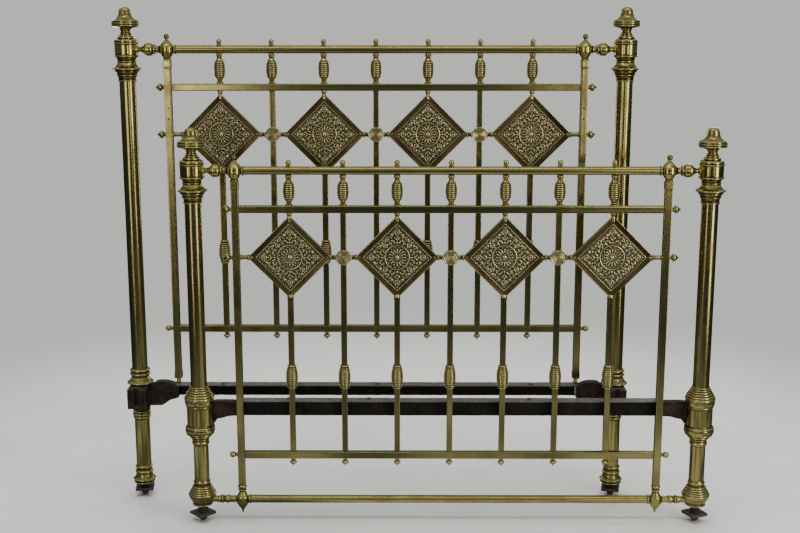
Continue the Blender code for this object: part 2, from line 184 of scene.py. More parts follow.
def cavities(points):
    """How hollow (up to 1) or how proud (down to -1) an outline is at each of its points."""
    along = [0.0]
    for a, b in zip(points, points[1:]):
        along.append(along[-1] + (b - a).length)
    found = []
    for here, point in zip(along, points):
        before = point_at(here - CAVITY_REACH, points, along)
        after = point_at(here + CAVITY_REACH, points, along)
        run = after - before
        outward = Vector((run.y, -run.x))
        if outward.length < 1e-6:
            found.append(0.0)
            continue
        depth = ((before + after) / 2 - point).dot(outward.normalized())
        found.append(max(-1, min(1, depth / CAVITY_DEPTH)))
    return found


def barrel(low, high, end_radius, middle_radius, count, bulge):
    """Rings on a barrel shape with narrow grooves between, as outline points from low to high."""
    groove = 0.6
    width = (high - low) / count
    found = []
    for k in range(count):
        for z in (low + k * width + groove / 2, low + (k + 1) * width - groove / 2):
            t = (z - low) / (high - low) * 2 - 1
            r = middle_radius - (middle_radius - end_radius) * t * t
            found.append((r, z, bulge) if len(found) % 2 == 0 else (r, z))
    return found


# ---- meshes


class Shape:
    """Points, faces and cavity values gathered for one piece."""

    def __init__(self):
        self.points = []
        self.faces = []
        self.cavity = []

    def add(self, points, faces, cavity, matrix):
        first = len(self.points)
        self.points += [matrix @ Vector(p) for p in points]
        self.faces += [[first + k for k in face] for face in faces]
        self.cavity += list(cavity)
        return self


def turned_faces(rings, sides):
    """Faces between neighbouring rings of points. A ring of one point closes an end."""
    faces = []
    for low, high in zip(rings, rings[1:]):
        for k in range(sides):
            n = (k + 1) % sides
            if len(low) == 1:
                faces.append((low[0], high[n], high[k]))
            elif len(high) == 1:
                faces.append((low[k], low[n], high[0]))
            else:
                faces.append((low[k], low[n], high[n], high[k]))
    return faces


def turned(shape, outline, sides, matrix, dents=0.0):
    """Adds a solid turned about Z, from an outline in millimetres listed from low to high."""
    run = full_outline(outline)
    origin = matrix @ Vector((0, 0, 0))
    points, cavity, rings = [], [], []
    for spot, mark in zip(run, cavities(run)):
        radius, height = max(spot.x, 0), spot.y
        if radius < 1e-6:
            rings.append([len(points)])
            points.append((0, 0, height * MM))
            cavity.append(mark)
            continue
        rings.append(range(len(points), len(points) + sides))
        for k in range(sides):
            a = 2 * math.pi * k / sides
            direction = Vector((math.cos(a), math.sin(a), 0))
            out = radius
            if dents:
                lump = Vector((origin.x * 9, origin.y * 9, height * 0.018 + origin.z))
                out += dents * noise.noise(direction * 0.9 + lump)
            points.append((direction.x * out * MM, direction.y * out * MM, height * MM))
            cavity.append(mark)
    return shape.add(points, turned_faces(rings, sides), cavity, matrix)


def rounded_square(half, corner):
    """Section of a drawn square tube, with its cavity marks: worn corners, faces a little dished."""
    section = []
    for quarter in range(4):
        turn = Matrix.Rotation(quarter * math.pi / 2, 2)
        for k in range(5):
            a = math.pi / 2 * k / 4
            spot = Vector((half - corner + corner * math.cos(a), half - corner + corner * math.sin(a)))
            section.append((turn @ spot, CORNER_WEAR if 0 < k < 4 else CORNER_EDGE_WEAR))
        for across in (0.55, 0.0, -0.55):
            spot = Vector((across * half, half - DISH * (1 - across * across)))
            section.append((turn @ spot, 0.0))
    return section


def bar(shape, half, low, high, matrix, corner=1.5 * MM):
    """Adds a square tube along Z, with eased ends and the slight waves of old drawn tube."""
    length = high - low
    count = max(2, math.ceil(length / TUBE_STEP))
    runs = [(low, END_SCALE), (low + END_EASE, 1.0), (low + END_RUN, 1.0)]
    runs += [(low + END_RUN + (length - 2 * END_RUN) * k / count, 1.0) for k in range(1, count)]
    runs += [(high - END_RUN, 1.0), (high - END_EASE, 1.0), (high, END_SCALE)]
    points, faces, cavity = [], [], []
    origin = matrix @ Vector((0, 0, 0))
    base = rounded_square(half, corner)
    size = len(base)
    for height, scale in runs:
        near_end = max(0.0, 1 - min(height - low, high - height) / END_DIRT)
        for spot, mark in base:
            wobble = WAVE * noise.noise(Vector((origin.x * 31 + spot.x * 40, spot.y * 40, height * 9)))
            at = spot * scale + spot.normalized() * wobble
            points.append((at.x, at.y, height))
            cavity.append(mark + END_DARK * near_end)
    for k in range(len(runs) - 1):
        for n in range(size):
            m = (n + 1) % size
            faces.append((k * size + n, k * size + m, (k + 1) * size + m, (k + 1) * size + n))
    faces.append(tuple(reversed(range(size))))
    last = (len(runs) - 1) * size
    faces.append(tuple(range(last, last + size)))
    return shape.add(points, faces, cavity, matrix)


def add_mark(mesh, name, values):
    """Stores one number a point, which the materials read."""
    made = mesh.attributes.new(name, "FLOAT", "POINT")
    made.data.foreach_set("value", np.array(values, np.float32))


def face_outward(mesh, toward=0):
    """Turns a closed mesh's faces outward, or an open sheet's faces to one side along Y."""
    bm = bmesh.new()
    bm.from_mesh(mesh)
    bmesh.ops.recalc_face_normals(bm, faces=bm.faces)
    if bm.faces[0].normal.y * toward < 0:
        bmesh.ops.reverse_faces(bm, faces=bm.faces)
    bm.to_mesh(mesh)
    bm.free()


def mesh_of(shape, name):
    mesh = bpy.data.meshes.new(name)
    mesh.from_pydata([tuple(p) for p in shape.points], [], shape.faces)
    add_mark(mesh, "cavity", shape.cavity)
    face_outward(mesh)
    mesh.shade_smooth()
    mesh.set_sharp_from_angle(angle=SHARP_ANGLE)
    return mesh


def piece(name, mesh, material, body, node=None):
    """Puts a mesh in the scene as one piece that rides on a body and may stand for a CAD node."""
    made = bpy.data.objects.new(name, mesh)
    bpy.context.collection.objects.link(made)
    mesh.materials.clear()
    mesh.materials.append(material)
    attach(made, body)
    if node:
        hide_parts(node)
    return made


def shape_piece(name, shape, material, body, node=None):
    return piece(name, mesh_of(shape, name), material, body, node)


# ---- places from the CAD frame


def middle(node):
    low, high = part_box(node)
    return (low + high) / 2


def rail_height(end):
    return middle(f"{end}_top_rail").z


def post_axis(end, side):
    at = middle(f"{end}_post_{side}")
    return Vector((at.x, at.y, 0))


def stile_axis(end, side):
    low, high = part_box(f"{end}_second_rail")
    x = low.x - SQUARE_TUBE / 2 - GAP if side == "left" else high.x + SQUARE_TUBE / 2 + GAP
    return Vector((x, (low.y + high.y) / 2, 0))


def column_axis(end, k):
    low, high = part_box(f"{end}_second_rail")
    return Vector(((low.x + high.x) / 2 + (k - MIDDLE_COLUMN) * PITCH * MM, (low.y + high.y) / 2, 0))


def up(at):
    return Matrix.Translation(at)


def along_x(at, sign):
    """Turns +Z into +X or -X at a place."""
    return Matrix.Translation(at) @ Matrix.Rotation(sign * math.pi / 2, 4, "Y")


def toward_viewer(at):
    return Matrix.Translation(at) @ Matrix.Rotation(math.pi / 2, 4, "X")


# ---- materials


class Nodes:
    """The nodes of a material or world, with short ways to make the few kinds used here."""

    def __init__(self, owner, place="Object"):
        owner.use_nodes = True
        self.tree = owner.node_tree
        self.place = self.node("TexCoord", place, {})

    def feed(self, socket, value):
        if isinstance(value, bpy.types.NodeSocket):
            self.tree.links.new(value, socket)
        elif socket.type == "RGBA":
            socket.default_value = (*value, 1)
        else:
            socket.default_value = value

    def node(self, kind, output, inputs, **settings):
        """The named output of a new node, with its settings made and then its inputs fed."""
        made = self.tree.nodes.new("ShaderNode" + kind)
        for name, value in settings.items():
            setattr(made, name, value)
        for name, value in inputs.items():
            self.feed(made.inputs[name], value)
        return made.outputs[output]

    def noise(self, scale, detail=4, rough=0.5, stretch=(1, 1, 1)):
        place = self.node("Mapping", "Vector", {"Scale": stretch, "Vector": self.place})
        shape = {"Scale": scale, "Detail": detail, "Roughness": rough}
        return self.node("TexNoise", "Fac", {"Vector": place, **shape})

    def cells(self, scale):
        return self.node("TexVoronoi", "Distance", {"Vector": self.place, "Scale": scale})

    def mark(self, name):
        return self.node("Attribute", "Fac", {}, attribute_name=name)

    def axis(self, vector, name):
        return self.node("SeparateXYZ", name, {0: vector})

    def level(self, value, low, high, start=0.0, end=1.0):
        """The value eased from start at low to end at high, and held beyond them."""
        inputs = {"Value": value, "From Min": low, "From Max": high, "To Min": start, "To Max": end}
        return self.node("MapRange", "Result", inputs, interpolation_type="SMOOTHSTEP")

    def add(self, a, b):
        return self.node("Math", 0, {0: a, 1: b}, operation="ADD", use_clamp=True)

    def times(self, a, b):
        return self.node("Math", 0, {0: a, 1: b}, operation="MULTIPLY")

    def blend(self, amount, a, b):
        return self.node("Mix", "Result", {"Factor": amount, "A": a, "B": b}, data_type="RGBA")

    def bump(self, height, strength, distance, under=None):
        inputs = {"Strength": strength, "Distance": distance, "Height": height}
        if under:
            inputs["Normal"] = under
        return self.node("Bump", "Normal", inputs)


class Paint(Nodes):
    """A new material that ends in one Principled shader."""

    def __init__(self, name):
        self.material = bpy.data.materials.new(name)
        super().__init__(self.material)
        self.shader = self.tree.nodes["Principled BSDF"]

    def finish(self, colour, roughness, metallic, normal, gloss=0.5):
        self.feed(self.shader.inputs["Specular IOR Level"], gloss)
        self.feed(self.shader.inputs["Base Color"], colour)
        self.feed(self.shader.inputs["Roughness"], roughness)
        self.feed(self.shader.inputs["Metallic"], metallic)
        self.feed(self.shader.inputs["Normal"], normal)
        return self.material


BRASS = (0.6, 0.51, 0.17)
OLD_BRASS = (0.46, 0.375, 0.118)
BROWN = (0.105, 0.068, 0.03)
COPPER = (0.42, 0.2, 0.11)
WORN = (0.74, 0.65, 0.28)


def brass(name, clean, stained, gloss, dull, copper=0.0, lathe=0.0):
    """Brass with broad tarnish, blotches, dirt in its hollows and wear along its edges."""
    p = Paint(name)
    cavity = p.mark("cavity")
    broad = p.noise(4.5)
    blotch = p.noise(17)
    specks = p.noise(330, 3, 0.6)
    mixed = p.add(p.times(broad, 0.55), p.times(blotch, 0.45))
    tarnish = p.level(mixed, 0.45, 0.68)
    colour = p.blend(tarnish, clean, stained)
    if copper:
        patch = p.level(p.noise(11, 6, 0.6), 0.52, 0.68, 0, copper)
        colour = p.blend(patch, colour, COPPER)
    dark_spots = p.level(p.noise(85, 3), 0.7, 0.78, 0, 0.8)
    colour = p.blend(dark_spots, colour, BROWN)
    hollow = p.level(cavity, 0.08, 0.75, 0, 0.85)
    colour = p.blend(hollow, colour, BROWN)
    worn = p.level(cavity, -0.15, -0.9, 0, 0.55)
    colour = p.blend(worn, colour, WORN)
    rough = p.add(p.level(tarnish, 0, 1, gloss, dull), p.times(specks, 0.08))
    rough = p.add(rough, p.times(hollow, 0.2))
    normal = p.bump(p.noise(30, 2, 0.4), 0.05, 0.00032)
    normal = p.bump(specks, 0.05, 0.00003, normal)
    if lathe:
        lines = p.noise(2600, 2, 0.5, (0.02, 0.02, 1))
        normal = p.bump(lines, lathe, 0.00005, normal)
    return p.finish(colour, rough, 1.0, normal)


def embossed(name):
    """Stamped sheet: bright rubbed relief over a dark stippled ground."""
    p = Paint(name)
    cavity = p.mark("cavity")
    ground = p.mark("ground")
    blotch = p.noise(26, 6, 0.6)
    stipple = p.cells(620)
    colour = p.blend(p.level(blotch, 0.4, 0.68), (0.52, 0.44, 0.2), (0.34, 0.26, 0.1))
    dirt = p.level(cavity, 0.05, 0.7, 0, 0.9)
    colour = p.blend(dirt, colour, (0.055, 0.04, 0.016))
    colour = p.blend(p.times(ground, 0.7), colour, (0.11, 0.085, 0.035))
    rubbed = p.level(cavity, -0.08, -0.7, 0, 0.9)
    colour = p.blend(rubbed, colour, (0.9, 0.83, 0.52))
    plain = p.blend(p.level(p.noise(9, 5, 0.6), 0.4, 0.65), (0.2, 0.15, 0.06), (0.1, 0.066, 0.028))
    colour = p.blend(p.mark("frame_part"), colour, plain)
    rough = p.level(cavity, -0.6, 0.5, 0.24, 0.5)
    normal = p.bump(stipple, 0.35, 0.00035)
    normal = p.bump(p.noise(120, 4, 0.6), 0.15, 0.0004, normal)
    return p.finish(colour, rough, 1.0, normal)


def black_iron(name):
    """Painted angle iron: black, with rust at the edges, and a speckled grey-brown bloom on its upward
    faces that is partly dust and partly painted light from above.
    """
    p = Paint(name)
    cavity = p.mark("cavity")
    blotch = p.noise(18, 7, 0.65)
    fine = p.noise(210, 5, 0.65)
    colour = p.blend(p.level(blotch, 0.42, 0.66), (0.0045, 0.0042, 0.0042), (0.011, 0.0095, 0.0085))
    colour = p.blend(p.level(p.noise(55, 6, 0.7), 0.58, 0.72, 0, 0.7), colour, (0.034, 0.02, 0.012))
    colour = p.blend(p.level(cavity, -0.3, -0.9, 0, 0.4), colour, (0.07, 0.055, 0.045))
    # Partly dust, partly painted light from above: faces turned upward are lightened to grey-brown in
    # speckles
    facing = p.node("NewGeometry", "Normal", {})
    top = p.level(p.axis(facing, "Z"), 0.4, 0.95, 0, 0.75)
    dust_and_top_light = p.times(top, p.level(fine, 0.3, 0.6))
    colour = p.blend(dust_and_top_light, colour, (0.17, 0.145, 0.12))
    rough = p.level(blotch, 0.3, 0.7, 0.42, 0.72)
    normal = p.bump(fine, 0.3, 0.0005)
    normal = p.bump(blotch, 0.25, 0.001, normal)
    return p.finish(colour, rough, 0.15, normal, gloss=0.2)


def rusty_iron(name, base, rust, pale, glow=(0.16, 0.07, 0.032)):
    """Cast iron, scaled and pitted: rust, grey bloom and worn high spots."""
    p = Paint(name)
    cavity = p.mark("cavity")
    blotch = p.noise(34, 7, 0.65)
    fine = p.noise(260, 5, 0.7)
    colour = p.blend(p.level(blotch, 0.38, 0.62), base, rust)
    colour = p.blend(p.level(p.noise(80, 6, 0.7), 0.57, 0.72, 0, 0.6), colour, glow)
    colour = p.blend(p.level(cavity, -0.1, -0.6, 0, 0.6), colour, pale)
    colour = p.blend(p.level(cavity, 0.1, 0.7, 0, 0.7), colour, (0.03, 0.022, 0.018))
    rough = p.level(fine, 0.3, 0.7, 0.62, 0.9)
    normal = p.bump(fine, 0.5, 0.0007)
    normal = p.bump(blotch, 0.3, 0.0015, normal)
    return p.finish(colour, rough, 0.1, normal, gloss=0.2)


POLISHED = brass("polished_brass", BRASS, OLD_BRASS, 0.13, 0.22, copper=0.22, lathe=0.015)
TARNISHED = brass("tarnished_brass", (0.53, 0.45, 0.165), (0.36, 0.285, 0.1), 0.15, 0.25)
RUBBED = brass("rubbed_brass", (0.62, 0.52, 0.26), (0.46, 0.37, 0.17), 0.16, 0.24, copper=0.3)
BRONZED = brass("bronzed_brass", (0.1, 0.074, 0.034), (0.045, 0.033, 0.018), 0.26, 0.42)
EMBOSSED = embossed("embossed_brass")
IRON = black_iron("black_iron")
CASTING = rusty_iron(
    "rusty_iron", (0.014, 0.0115, 0.0092), (0.042, 0.025, 0.016), (0.11, 0.085, 0.064),
    (0.085, 0.042, 0.022),
)
PLATE = rusty_iron("plate_iron", (0.038, 0.034, 0.031), (0.062, 0.046, 0.037), (0.13, 0.12, 0.11))
DARK = rusty_iron("dark_iron", (0.02, 0.019, 0.018), (0.04, 0.03, 0.025), (0.09, 0.08, 0.07))
MATT = [IRON, CASTING, PLATE, DARK]


# ---- posts

# From the top rail's axis, low to high
CROWN = [
    (0, -66), (22.6, -66), (22.6, -86.2), (24.4, -86.8, 0.8), (24.6, -83), (23.6, -82.2),
    (24, -76.8, -0.12), (26.4, -72.4), (27.4, -71.6, 0.8), (27.6, -68.8), (26.8, -68.2),
    (28.2, -64.8), (29.8, -62.6), (31.4, -62, 0.7), (32.2, -59.4), (31.8, -58.8), (34, -56.2),
    (37.6, -55, 0.7), (38.8, -51.4), (37.2, -50.2, -0.28), (25.4, -37.2), (24.4, -35.4),
    (25.4, -34.4, 0.8), (25.4, -30.8), (24.4, -30), (25, -27, -0.22), (30.6, -21.2),
    (32.4, -20.2, 0.8), (32.6, -16.6), (31, -15.8), (30.8, -14.6), (31.2, -13.4), (31.2, 12.6),
    (30.9, 13.6), (32.4, 14.4, 0.8), (32.4, 18), (31, 18.8), (31.4, 20.4, 0.34), (29, 27.2),
    (24.6, 28), (22.2, 28.8), (22.6, 29.8, 0.5), (20, 35.4), (19, 36), (5.9, 36), (5.9, 20),
    (0, 20),
]
FINIAL = [
    (0, 20.4), (5, 20.4), (5, 36.3), (17.4, 36.3), (18, 37, 0.5), (16.4, 39.8), (14.6, 40.6),
    (14.8, 41.6, 0.8), (14.8, 44.6), (13.2, 45.4, -0.2), (13.2, 51.6), (14.8, 54.2, -0.2),
    (20.4, 58), (27, 59.6), (33.4, 61.2), (35, 61.8, 0.75), (36.2, 66), (35, 66.8),
    (36, 67.6, 0.75), (36.4, 72), (35.2, 72.8), (35.6, 73.6, 0.75), (34.6, 77.6), (32.6, 78.6),
    (29.6, 80, -0.2), (20.8, 86.6), (18, 91.2), (16.6, 97, 0.08), (14.8, 106.2, 0.26),
    (9.6, 111.8, 0.16), (0, 113.4),
]
TOP_LINK = [
    (0, 29), (9, 29), (9, 33.4, 0.6), (7.4, 34.6), (6.2, 36), (6.4, 38.6, -0.08), (9.6, 46),
    (11, 49), (12.6, 50, 0.26), (17.4, 57.6), (17.4, 66, 0.26), (12.6, 73.6), (11.4, 74.4),
    (11.4, 75.4), (13, 76.4, 0.8), (13, 79.6), (9.4, 80.6), (9, 82), (9, 88),
]
LOW_LINK = [
    (0, 16), (12, 16), (12.2, 20, 0.7), (12, 23.2), (9.6, 24), (9, 26), (9, 42.6),
    (9.6, 44.6, 0.2), (10.6, 53.6), (11.2, 54.8, 0.8), (11.2, 58.4), (9.6, 59.6), (9.6, 64.4),
    (10.8, 66.4, 0.2), (10.8, 75), (9.6, 76.4), (9.4, 79),
]
LINK_END = 91.9
LOW_LINK_END = 93.9
POST_RADIUS = 22.2
POST_TOP_DROP = 66.3
FOOT_POST_LOW = 389.5

# Above the floor
HEAD_BASE = [
    (22.3, 340.8), (34.4, 340.8), (35.8, 342, 0.8), (35.8, 346.8), (34, 347.8, -0.2),
    (27, 357.2), (25.6, 359.2), (24, 361.4), (24, 363.6), (26.2, 365.6, 0.8), (26.2, 373.2),
    (24.2, 374.8), (24.2, 376.4), (26.2, 377.8, 0.8), (26.2, 384.2), (23.6, 385.6), (22.2, 388),
]
HEAD_LEG = [
    (0, 38.9), (27.6, 38.9), (29, 39.6, 0.7), (29.4, 42.8), (28.6, 43.6), (30.8, 48.2),
    (31.8, 49, 0.8), (31.4, 52.2), (29.8, 53.2, -0.22), (23.8, 66), (23.4, 68),
    (24.4, 69.4, 0.5), (24.4, 75.8), (23, 77), (22.4, 79), (22.4, 83.2), (23.2, 84.6, 0.5),
    (23.2, 91.4), (22.2, 92.8), (21.5, 94.6), (21.5, 234.4), (22.4, 235.6), (23.6, 237, 0.5),
    (23.6, 242.6), (22.6, 243.4), (22.6, 244.4), (24.4, 245.6, 0.6), (24.4, 252.4), (23.4, 253.4),
    (23.2, 254.6), (24, 255.4, 0.6), (24, 259.4), (22.8, 260.6), (0, 261.3),
]
FOOT_LEG = [
    (0, 46.9), (25.4, 46.9), (26.8, 47.6, 0.7), (27, 51), (26.2, 51.8), (26.6, 54.4), (29, 59),
    (30.4, 60.2, 0.3), (31.6, 63.2), (31.8, 63.8), (34, 66.6, 0.3), (35, 69.4), (35, 70),
    (36.6, 72.2, 0.3), (37.6, 75.4), (38, 77.4, 0.4), (36.6, 81.4), (35.6, 82.2, 0.6), (33.6, 86.6),
    (32.4, 87.4, 0.6), (30.2, 92), (29.2, 92.8, 0.6), (27.2, 97.6), (26.4, 98.4, 0.6), (24.8, 103),
    (23.4, 104), (22, 108.6), (22.4, 110, 0.35), (22.4, 117.2), (21.4, 118.6), (20.8, 120.4),
    (20.8, 222.2), (22, 223.4), (22.6, 224.4, 0.4), (22.6, 233), (22, 234), (22, 236),
    (23.2, 237, 0.6), (23.6, 240.2), (23.6, 241.2), (27, 244.6), (28.4, 245.2, 0.7),
    (30, 248.2), (29.6, 249.2), (33.4, 251.8), (36.6, 253.2, 0.6), (38, 256), (37.8, 257),
    (39.6, 259.6, 0.16), (40.2, 271), (39.4, 271.8), (39.8, 272.8, 0.6), (38, 276.4),
    (36, 278), (35, 280), (35, 328.4), (34.4, 329), (35, 329.6), (35, 331.6),
    (36.4, 332.6, 0.6), (37.2, 335.4), (36.8, 336.4), (38.6, 339, 0.12), (40, 351),
    (39.2, 352), (40.2, 353, 0.4), (39.4, 359.6), (38.2, 360.4), (38.2, 361.4, 0.5),
    (36.2, 366.4), (34.8, 367.2), (34.8, 368.2, 0.5), (32.4, 372.6), (31, 373.4), (31, 374.4, 0.5),
    (28.8, 378.6), (27.4, 379.4), (27.4, 380.4, 0.5), (25.6, 384), (24.2, 384.8), (24.4, 385.6, 0.7),
    (24, 388.6), (22.8, 389.2), (0, 389.2),
]
STUB = [(0, 0), (5.4, 0.2, 0.1), (7.4, 1.2, 0.2), (10, 6), (10, 16.6), (9.2, 17.4), (0, 17.4)]
STUB_TOP = {"head_end": 38.8, "foot_end": 46.8}


def make_post(end, side):
    sign = SIDES[side]
    axis = post_axis(end, side)
    top = rail_height(end)
    at_rail = axis + Vector((0, 0, top))
    finial = turned(Shape(), FINIAL, FINE, up(at_rail))
    shape_piece(f"finial_{end}_{side}", finial, POLISHED, end, f"{end}_finial_{side}")
    crown = turned(Shape(), CROWN, FINE, up(at_rail))
    link = TOP_LINK + [(11, LINK_END), (0, LINK_END)]
    turned(crown, link, MEDIUM, along_x(at_rail, -sign))
    shape_piece(f"crown_{end}_{side}", crown, POLISHED, end, f"{end}_crown_{side}")
    tube_top = top / MM - POST_TOP_DROP
    base = HEAD_BASE if end == "head_end" else [(0, FOOT_POST_LOW), (POST_RADIUS, FOOT_POST_LOW)]
    outline = base + [(POST_RADIUS, tube_top), (0, tube_top)]
    tube = turned(Shape(), outline, FINE, up(axis), dents=0.22)
    shape_piece(f"post_{end}_{side}", tube, TARNISHED, end, f"{end}_post_{side}")
    leg = turned(Shape(), HEAD_LEG if end == "head_end" else FOOT_LEG, FINE, up(axis))
    if end == "foot_end":
        low_link = LOW_LINK + [(9.4, LOW_LINK_END), (0, LOW_LINK_END)]
        turned(leg, low_link, MEDIUM, along_x(axis + Vector((0, 0, LOW_RAIL_HEIGHT)), -sign))
    shape_piece(f"leg_{end}_{side}", leg, POLISHED, end, f"{end}_leg_{side}")
    stub = turned(Shape(), STUB, MEDIUM, up(axis))
    stub_top = STUB_TOP[end]
    pin = [(0, 17), (5.4, 17), (5.4, 26.7), (12, 26.7), (13, 27.8), (13, stub_top), (0, stub_top)]
    turned(stub, pin, MEDIUM, up(axis))
    shape_piece(f"stub_{end}_{side}", stub, DARK, end)


# ---- stiles

STILE_HEAD = [
    (0, -28.4), (10.2, -28.4), (11, -27.4, 0.7), (10.6, -25.2), (9.4, -24.4), (9.6, -22.6, 0.05),
    (13.6, -17.4), (17, -11.6), (17.8, -10.6, 0.22), (19.2, -3.6), (19.2, 3.6, 0.22), (17.8, 10.4),
    (16.8, 11.4, 0.13), (12, 18.2, 0.02), (6.4, 24.4), (4.4, 26.4), (4.4, 28.2), (0, 28.4),
]
STILE_BALL = [(0, 27.6), (4.2, 27.8), (4.4, 28.2, 0.734), (0, 42.2)]
STILE_FOOT = [
    (0, 0.2), (2.4, 0.2), (3.4, 0.9, 0.6), (3.4, 13.2), (6.4, 14.2, 0.7), (7.6, 16.4), (8.4, 17),
    (0, 17.2),
]
ACORN = [
    (0, 22), (1.6, 22.6, 0.2), (3, 28.4, -0.06), (5.6, 34.4), (6.2, 35.4, 0.06), (12.6, 44),
    (14.8, 48.2), (15.8, 49.2, 0.22), (17.3, 57), (17.3, 64, 0.22), (15.6, 72.6), (14.4, 73.8),
    (10.8, 80.2), (9.2, 84.4, -0.1), (9.2, 87.6), (10.8, 88.6, 0.8), (10.8, 91.6), (9.8, 92.6),
    (9.8, 95.6), (11, 96.8, 0.8), (11, 102.6), (10.4, 103.8), (0, 104),
]
SIDE_SPIKE = [
    (0, 9), (6.4, 9), (6.8, 10.2, 0.7), (6.4, 12.4), (4.6, 13.2), (4.4, 14.6), (6.6, 16.2),
    (9, 18.4, 0.15), (10.9, 22.2), (10.7, 23.6, 0.12), (7.2, 28.4, -0.1), (2.6, 32), (1.8, 34.2),
    (0, 35.2),
]
SIDE_BALL = [
    (0, 9), (6.4, 9), (6.6, 10.4, 0.7), (6.2, 12.4), (4.4, 13.4), (4.4, 16.2, 0.767), (0, 32.6),
]
SCREW = [(0, -1), (2.6, -1), (2.6, 0.1), (2, 0.5, 0.1), (0, 0.7)]
SIDE_FINIALS = (
    (SECOND_RAIL_DROP, SIDE_SPIKE), (DIAMOND_DROP, SIDE_SPIKE), (BOTTOM_RAIL_DROP, SIDE_BALL),
)
# In metres: the tube's foot above the floor, its top below the rail, the ferrules round its ends,
# and the screws below the rail
STILE_FOOT_LENGTH = 0.0172
STILE_LOW = {"head_end": 0.3403 + STILE_FOOT_LENGTH, "foot_end": 0.103}
STILE_TOP_DROP = 0.0495
FERRULE_HALF = 0.0108
FERRULE_CORNER = 2 * MM
FERRULE_DROPS = (0.05, 0.0272)
FOOT_FERRULE = (-0.0008, 0.02)
SCREW_DROPS = (0.16, 0.19)


def make_stile(end, side):
    sign = SIDES[side]
    axis = stile_axis(end, side)
    top = rail_height(end)
    half = SQUARE_TUBE / 2
    foot = STILE_LOW[end]
    tube = bar(Shape(), half, foot, top - STILE_TOP_DROP, up(axis))
    shape_piece(f"stile_{end}_{side}", tube, TARNISHED, end, f"{end}_stile_{side}")
    at_rail = axis + Vector((0, 0, top))
    fittings = turned(Shape(), STILE_HEAD, MEDIUM, up(at_rail))
    low, high = (top - drop for drop in FERRULE_DROPS)
    bar(fittings, FERRULE_HALF, low, high, up(axis), FERRULE_CORNER)
    if end == "foot_end":
        turned(fittings, ACORN, MEDIUM, up(axis))
    else:
        low, high = (foot + rise for rise in FOOT_FERRULE)
        bar(fittings, FERRULE_HALF, low, high, up(axis), FERRULE_CORNER)
        turned(fittings, STILE_FOOT, MEDIUM, up(axis + Vector((0, 0, foot - STILE_FOOT_LENGTH))))
    for drop, outline in SIDE_FINIALS:
        at = at_rail - Vector((0, 0, drop * MM))
        turned(fittings, outline, SMALL, along_x(at, sign))
    shape_piece(f"stile_fittings_{end}_{side}", fittings, POLISHED, end)
    ball = turned(Shape(), STILE_BALL, SMALL, up(at_rail))
    shape_piece(f"stile_ball_{end}_{side}", ball, BRONZED, end)
    screws = Shape()
    for drop in SCREW_DROPS:
        at = at_rail + Vector((0, -half, -drop))
        turned(screws, SCREW, SMALL, toward_viewer(at))
    shape_piece(f"stile_screws_{end}_{side}", screws, DARK, end)


# ---- rails


def make_rails(end):
    for name in ("second_rail", "bottom_rail"):
        node = f"{end}_{name}"
        low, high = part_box(node)
        at = middle(node)
        half = (high.z - low.z) / 2
        reach = (high.x - low.x) / 2
        rail = bar(Shape(), half, -reach, reach, along_x(at, 1))
        shape_piece(f"{name}_{end}", rail, TARNISHED, end, node)
    for name in ("top_rail", "low_rail"):
        node = f"{end}_{name}"
        if node not in frame["nodes"]:
            continue
        low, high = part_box(node)
        reach = (high.x - low.x) / 2 / MM
        outline = [
            (0, -reach), (11.9, -reach), (12.4, -reach + 1.2, 0.7), (12.2, -reach + 4.6),
            (11.1, -reach + 5.6), (11.1, reach - 5.6), (12.2, reach - 4.6, 0.7), (12.4, reach - 1.2),
            (11.9, reach), (0, reach),
        ]
        rail = turned(Shape(), outline, MEDIUM, along_x(middle(node), 1), dents=0.15)
        shape_piece(f"{name}_{end}", rail, POLISHED, end, node)


# ---- spindles

DROP = [
    (0, -820.6), (1.6, -819.2), (2.4, -816.6), (4, -815), (5.6, -814.2, 0.8), (5.6, -804.2),
    (4.8, -803.2), (4.8, -801.4), (6.4, -800.6, 0.8), (6.4, -798.6), (0, -798.2),
]
BALUSTER = [
    (0, -93.1), (9.6, -93.1), (10.2, -92.4, 0.7), (9.4, -90), (7, -89), (6.4, -88),
    (7.4, -87.2, 0.8), (7.4, -84.8), (6.4, -84), (6.6, -83, 0.08), (11.4, -75.4),
    *barrel(-75, -33, 11.8, 14.3, 8, 0.8), (10.8, -32, 0.1), (6.8, -24.6), (6.2, -23.6),
    (6.2, -22.4), (7.4, -21.4, 0.8), (7.4, -19), (6.4, -18.2), (7.6, -17.4, 0.8), (7.8, -13),
    (8.2, -11.5), (0, -11.5),
]
TOP_BALL = [
    (0, 11.3), (6.6, 11.3), (7.2, 12, 0.7), (6.6, 14), (4.8, 14.6), (4.6, 14.9, 0.72), (0, 28.3),
]
COLLAR = [
    (0, -597), (10.8, -597), (11.4, -596.2, 0.8), (11.4, -592.6), (10.8, -591.8), (10.8, -590.8),
    (12.4, -590, 0.8), (12.4, -586.4), (11.8, -585.6), *barrel(-585.2, -543, 12.4, 15, 8, 0.8),
    (11.8, -542.4), (12.4, -541.6, 0.8), (12.4, -538.2), (10.8, -537.2), (10.8, -536.2),
    (11.4, -535.4, 0.8), (11.4, -532), (10.8, -531.2), (0, -531),
]
BOSS = [
    (0, -7), (9, -7), (18.6, -5.4, 0.2), (20.4, -2.6), (20.4, 6.6, 0.4), (19, 9.4),
    (18, 9.2), (16.2, 8.1), (14.4, 9.2), (13.8, 9.2), (12, 8.2), (10.2, 9.3), (9.6, 9.3),
    (7.8, 8.3), (6, 9.4), (5.4, 9.4), (4.2, 8.7), (2.6, 10.2, 0.3), (0, 10.8),
]


def has_diamond(k):
    return k % 2 == 1


